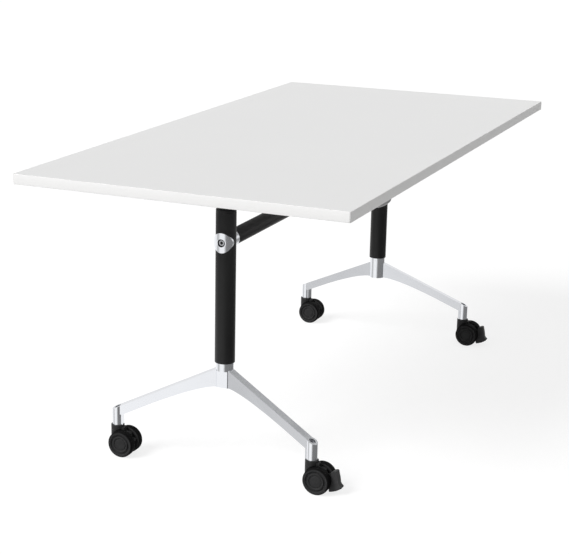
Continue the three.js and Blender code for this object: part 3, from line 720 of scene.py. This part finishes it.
bm = bmesh.new()
rings = []
for k in range(61):
    x = lever_half * math.sin(math.pi / 2 * (k / 30 - 1))
    rings.append([bm.verts.new((lever_x + x, y, z)) for y, z in paddle_section(x)])
bm.faces.new(rings[0])
bm.faces.new(rings[-1])
for first, second in zip(rings, rings[1:]):
    for i in range(len(first)):
        j = (i + 1) % len(first)
        bm.faces.new((first[i], first[j], second[j], second[i]))
lever = new_object("release_paddle", bm)
for side in (-1, 1):
    width = sorted((arm_x + side * STRAP_INNER, arm_x + side * STRAP_OUTER))
    strap = arc((rod_centre.y, rod_centre.z), STRAP_EYE, -70, 70, 12)
    strap_end = paddle_back - STRAP_OVERLAP
    strap += [(strap_end, back_z + 0.0006), (strap_end, back_z - 0.0021)]
    combine(lever, prism("strap", "X", strap, *width), "UNION")
    through = (width[0] - 0.001, width[1] + 0.001)
    combine(lever, bar("grip", "X", (rod_centre.y, rod_centre.z), ROD_HOLE, *through, 32), "DIFFERENCE")
fit(soften(lever, 0.0006, 2), GREY, "release", "grey_nylon", "release_lever")


# Latch springs. Round steel wire wound as an open coil, pressed between the bolt's guide and a
# tab on the bolt, made as a spiral with a round section carried along it.
def new_tree(name, **inputs):
    """A tree of geometry nodes with named inputs, and its first and last nodes."""
    tree = bpy.data.node_groups.new(name, "GeometryNodeTree")
    tree.interface.new_socket("Geometry", in_out="OUTPUT", socket_type="NodeSocketGeometry")
    for label, kind in inputs.items():
        tree.interface.new_socket(label, in_out="INPUT", socket_type=f"NodeSocket{kind}")
    return tree, tree.nodes.new("NodeGroupInput"), tree.nodes.new("NodeGroupOutput")


def coil_tree():
    tree, ends_in, ends_out = new_tree(
        "wound_spring", Turns="Float", Radius="Float", Length="Float", Wire="Float", Material="Material")
    spiral = tree.nodes.new("GeometryNodeCurveSpiral")
    spiral.inputs["Resolution"].default_value = 24
    section = tree.nodes.new("GeometryNodeCurvePrimitiveCircle")
    section.inputs["Resolution"].default_value = 12
    sweep = tree.nodes.new("GeometryNodeCurveToMesh")
    sweep.inputs["Fill Caps"].default_value = True
    dress = tree.nodes.new("GeometryNodeSetMaterial")
    shade = tree.nodes.new("GeometryNodeSetShadeSmooth")
    real = tree.nodes.new("GeometryNodeRealizeInstances")
    link = tree.links.new
    link(ends_in.outputs["Turns"], spiral.inputs["Rotations"])
    link(ends_in.outputs["Radius"], spiral.inputs["Start Radius"])
    link(ends_in.outputs["Radius"], spiral.inputs["End Radius"])
    link(ends_in.outputs["Length"], spiral.inputs["Height"])
    link(ends_in.outputs["Wire"], section.inputs["Radius"])
    link(spiral.outputs["Curve"], sweep.inputs["Curve"])
    link(section.outputs["Curve"], sweep.inputs["Profile Curve"])
    link(sweep.outputs["Mesh"], shade.inputs["Geometry"])
    link(shade.outputs["Geometry"], real.inputs["Geometry"])
    link(real.outputs["Geometry"], dress.inputs["Geometry"])
    link(ends_in.outputs["Material"], dress.inputs["Material"])
    link(dress.outputs["Geometry"], ends_out.inputs["Geometry"])
    return tree


def grown(name, tree, values):
    """A plain mesh made by a tree of geometry nodes from its named inputs."""
    thing = bpy.data.objects.new(name, bpy.data.meshes.new(name))
    bpy.context.scene.collection.objects.link(thing)
    modifier = thing.modifiers.new("grow", "NODES")
    modifier.node_group = tree
    for item in tree.interface.items_tree:
        if item.in_out == "INPUT" and item.name in values:
            modifier[item.identifier] = values[item.name]
    return bake(thing)


SPRING = coil_tree()
SPRING_TURNS = 7.0
WIRE_RADIUS = 0.0008

for end in ENDS:
    low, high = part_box(f"latch_spring_{end}")
    centre = middle(f"latch_spring_{end}")
    length = high[1] - low[1] - 2 * WIRE_RADIUS
    spring = grown(f"wound_spring_{end}", SPRING, {
        "Turns": SPRING_TURNS, "Radius": (high[2] - low[2]) / 2 - WIRE_RADIUS, "Length": length,
        "Wire": WIRE_RADIUS, "Material": STEEL})
    place = Matrix.Translation((centre.x, low[1] + WIRE_RADIUS, centre.z))
    spring.data.transform(place @ Matrix.Rotation(-math.pi / 2, 4, "X"))
    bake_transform(spring)
    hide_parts(f"latch_spring_{end}")


# Table top. A board faced with white satin laminate, and a white plastic band glued round its
# edge, flush with both faces and rounded over at its corners.
def white_laminate():
    finish = Finish("white_laminate", IOR=1.48)
    fine = finish.grain(1300, 3.0)
    cloud = finish.grain(2.5, 3.0)
    speck = finish.grain(380, 1.0)
    tone = cloud * 0.6 + speck * 0.4
    finish.colour(finish.blend(tone, (0.775, 0.775, 0.775, 1), (0.825, 0.825, 0.82, 1)))
    finish.roughness(0.36 + fine * 0.12 + cloud * 0.04)
    finish.bump(fine, 0.00006, 0.4)
    return finish.material


def white_band():
    finish = Finish("white_edge_band", IOR=1.48)
    streak = finish.grain(500, 3.0, (0.04, 0.04, 1.0))
    fine = finish.grain(1100, 2.0)
    finish.colour(finish.blend(streak, (0.79, 0.787, 0.782, 1), (0.83, 0.827, 0.822, 1)))
    finish.roughness(0.40 + fine * 0.12)
    finish.bump(fine * 0.6 + streak * 0.4, 0.00006, 0.4)
    return finish.material


LAMINATE = white_laminate()
BAND = white_band()
BAND_WALL = 0.002
BAND_ROUND = 0.0011
CORNER = 0.004


def rounded_rectangle(half_x, half_y, radius, steps=8):
    points = []
    for sx, sy, start in ((1, 1, 0), (-1, 1, 90), (-1, -1, 180), (1, -1, 270)):
        corner = (sx * (half_x - radius), sy * (half_y - radius))
        points += arc(corner, radius, start, start + 90, steps)
    return points


low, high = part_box("edge_band")
half_x, half_y = high[0], high[1]
outline = rounded_rectangle(half_x - BAND_WALL, half_y - BAND_WALL, CORNER - BAND_WALL)
board = prism("laminate_board", "Z", outline, low[2], high[2])
fit(smooth(board), LAMINATE, "top", "laminate", "table_top")

section = [(BAND_WALL, low[2])] + arc((BAND_ROUND, low[2] + BAND_ROUND), BAND_ROUND, 270, 180, 4)
section += [(inset, low[2] + high[2] - z) for inset, z in reversed(section)]
bm = bmesh.new()
loops = []
for inset, z in section:
    outline = rounded_rectangle(half_x - inset, half_y - inset, CORNER - inset)
    loops.append([bm.verts.new((x, y, z)) for x, y in outline])
for first, second in zip(loops, loops[1:] + loops[:1]):
    for i in range(len(first)):
        j = (i + 1) % len(first)
        bm.faces.new((first[i], first[j], second[j], second[i]))
fit(smooth(new_object("edge_banding", bm), 40), BAND, "top", "edging", "edge_band")


# Arm screws. Zinc plated pan head wood screws with a cross recess, driven up through the web of
# each channel into the board, in two rows.
def screw_head():
    """One pan head, cut with a cross, hanging below the plane that it is driven into."""
    head = turned("screw_head", "Z", (0.0, 0.0), [
        (0, -0.0030), (0.0012, -0.00295), (0.0026, -0.0027), (0.0038, -0.0020), (0.0043, -0.0012),
        (0.0044, 0.0), (0, 0.0)], 20)
    slot = [(-0.0022, -0.0005), (0.0022, -0.0005), (0.0022, 0.0005), (-0.0022, 0.0005)]
    for turn in (0.0, math.pi / 2):
        arm = prism("cross", "Z", slot, -0.004, -0.0014)
        arm.data.transform(Matrix.Rotation(turn, 4, "Z"))
        combine(head, arm, "DIFFERENCE")
    return smooth(head)


def screw_tree():
    tree, ends_in, ends_out = new_tree(
        "screw_rows", Count="Int", Start="Vector", Step="Vector", Screw="Object", Material="Material")
    row = tree.nodes.new("GeometryNodeMeshLine")
    shape = tree.nodes.new("GeometryNodeObjectInfo")
    spread = tree.nodes.new("GeometryNodeInstanceOnPoints")
    turn = tree.nodes.new("FunctionNodeRandomValue")
    turn.data_type = "FLOAT_VECTOR"
    turn.inputs["Max"].default_value = (0.0, 0.0, math.pi)
    turn.inputs["Seed"].default_value = 4
    real = tree.nodes.new("GeometryNodeRealizeInstances")
    dress = tree.nodes.new("GeometryNodeSetMaterial")
    link = tree.links.new
    link(ends_in.outputs["Count"], row.inputs["Count"])
    link(ends_in.outputs["Start"], row.inputs["Start Location"])
    link(ends_in.outputs["Step"], row.inputs["Offset"])
    link(ends_in.outputs["Screw"], shape.inputs["Object"])
    link(row.outputs["Mesh"], spread.inputs["Points"])
    link(shape.outputs["Geometry"], spread.inputs["Instance"])
    link(turn.outputs["Value"], spread.inputs["Rotation"])
    link(spread.outputs["Instances"], real.inputs["Geometry"])
    link(real.outputs["Geometry"], dress.inputs["Geometry"])
    link(ends_in.outputs["Material"], dress.inputs["Material"])
    link(dress.outputs["Geometry"], ends_out.inputs["Geometry"])
    return tree


SCREWS = screw_tree()
SCREW_COUNT = 5
SCREW_START = 0.070
SCREW_STEP = 0.058
SCREW_ASIDE = 0.012
ARM_WEB = 0.002

web_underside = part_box("edge_band")[0][2] - ARM_WEB
head = screw_head()
for end in ENDS:
    centre = middle(f"support_arm_{end}")
    for side, offset in (("inner", -SCREW_ASIDE), ("outer", SCREW_ASIDE)):
        rows = grown(f"arm_screws_{end}_{side}", SCREWS, {
            "Count": SCREW_COUNT, "Start": (centre.x + offset, SCREW_START, web_underside),
            "Step": (0.0, SCREW_STEP, 0.0), "Screw": head, "Material": STEEL})
        fit(rows, STEEL, "top", "zinc_steel")
bpy.data.objects.remove(head)


# Studio. A pale floor, a white surround that is grey low down in front of the table and behind
# it, and one broad soft lamp from the near left, seen by a long lens at standing height.
PHOTO_WIDTH = 569
FOCAL_PIXELS = 1491.07
PRINCIPAL_X = 250.0
CAMERA_PLACE = Vector((-3.5412, -1.4046, 1.3937))
CAMERA_YAW = 0.420
CAMERA_PITCH = 0.275
CAMERA_ROLL = 0.014
FILL_LIGHT = 0.33
MIRRORED = 0.85
MIRRORED_LOW = 1.0
SHADE_IN_FRONT = 0.80
SHADE_BEHIND = 0.48
FLOOR_RADIUS = 24.0
LAMP_PLACE = (-0.62, 0.42, 0.66)
LAMP_SOFTNESS = 28.0
LAMP_STRENGTH = 2.9

scene = bpy.context.scene
scene.view_settings.view_transform = "Standard"


def photo_camera():
    lens = bpy.data.cameras.new("photo_camera")
    lens.sensor_width = 36.0
    lens.lens = 36.0 * FOCAL_PIXELS / PHOTO_WIDTH
    lens.shift_x = (PHOTO_WIDTH / 2 - PRINCIPAL_X) / PHOTO_WIDTH
    lens.clip_end = 60.0
    camera = bpy.data.objects.new("photo_camera", lens)
    level = math.cos(CAMERA_PITCH)
    ahead = Vector((level * math.cos(CAMERA_YAW), level * math.sin(CAMERA_YAW), -math.sin(CAMERA_PITCH)))
    right = Vector((math.sin(CAMERA_YAW), -math.cos(CAMERA_YAW), 0.0))
    up = right.cross(ahead)
    right, up = (math.cos(CAMERA_ROLL) * right + math.sin(CAMERA_ROLL) * up,
                 math.cos(CAMERA_ROLL) * up - math.sin(CAMERA_ROLL) * right)
    turn = Matrix((right, up, -ahead)).transposed()
    camera.matrix_world = Matrix.Translation(CAMERA_PLACE) @ turn.to_4x4()
    scene.collection.objects.link(camera)
    scene.camera = camera


def lamp(name, towards, softness, strength):
    """A broad far lamp, so that it lights the whole table at one level."""
    light = bpy.data.lights.new(name, "SUN")
    light.angle = math.radians(softness)
    light.energy = strength
    holder = bpy.data.objects.new(name, light)
    holder.rotation_euler = Vector(towards).to_track_quat("Z", "Y").to_euler()
    scene.collection.objects.link(holder)


class Surround(Finish):
    """The light from all round, worked out like a finish, by the way a ray goes."""

    def __init__(self, name):
        scene.world = bpy.data.worlds.new(name)
        scene.world.use_nodes = True
        self.tree = scene.world.node_tree
        self.shader = self.tree.nodes["Background"]

    def along(self, axis):
        """How much a ray goes along an axis, from -1 to 1."""
        way = self.node("ShaderNodeTexCoord", output="Generated")
        return self.node("ShaderNodeVectorMath", {"operation": "DOT_PRODUCT"}, {0: way, 1: axis}, "Value")

    def step(self, value, start, stop):
        """0 below `start`, 1 above `stop` and a soft change between."""
        inputs = {"Value": value, "From Min": start, "From Max": stop}
        return self.node("ShaderNodeMapRange", {"interpolation_type": "SMOOTHSTEP"}, inputs)


def white_surround():
    """White where it is seen, grey in mirrors low down in front and behind, and dimmer on the rest."""
    surround = Surround("white_surround")
    camera = surround.node("ShaderNodeLightPath", output="Is Camera Ray")
    mirror = surround.node("ShaderNodeLightPath", output="Is Glossy Ray")
    glass = surround.node("ShaderNodeLightPath", output="Is Transmission Ray")
    forward, rightward = surround.along((0, -1, 0)), surround.along((1, 0, 0))
    low = 1 - surround.step(surround.along((0, 0, 1)), -0.20, 0.0)
    behind = (1 - surround.step(forward, -0.85, -0.50)) * (1 - surround.step(rightward, -0.45, -0.05))
    shade = surround.step(forward, 0.05, 0.50) * SHADE_IN_FRONT + behind * SHADE_BEHIND
    mirrored = MIRRORED + low * (MIRRORED_LOW - MIRRORED - shade)
    level = FILL_LIGHT + (camera + glass) * (1 - FILL_LIGHT) + mirror * (mirrored - FILL_LIGHT)
    surround.feed(surround.shader.inputs["Color"], (1, 1, 1, 1))
    surround.feed(surround.shader.inputs["Strength"], level)


def pale_floor():
    """A matt pale floor. It is white where it is seen, under a faint shadow."""
    finish = Finish("pale_floor", Roughness=0.9, Specular_IOR_Level=0.0, Emission_Strength=0.8)
    cloud = finish.grain(0.8, 2.0)
    camera = finish.node("ShaderNodeLightPath", output="Is Camera Ray")
    glass = finish.node("ShaderNodeLightPath", output="Is Transmission Ray")
    paint = finish.blend(cloud, (0.74, 0.74, 0.74, 1), (0.78, 0.78, 0.78, 1))
    finish.colour(finish.blend(camera, paint, (0.25, 0.25, 0.25, 1)))
    glow = finish.blend(camera + glass, (0, 0, 0, 1), (1, 1, 1, 1))
    finish.feed(finish.shader.inputs["Emission Color"], glow)
    floor = prism("floor", "Z", arc((0.0, 0.0), FLOOR_RADIUS, 0, 350, 35), -0.02, 0.0)
    floor.data.materials.append(finish.material)
    floor.visible_glossy = False


photo_camera()
white_surround()
pale_floor()
lamp("left_lamp", LAMP_PLACE, LAMP_SOFTNESS, LAMP_STRENGTH)
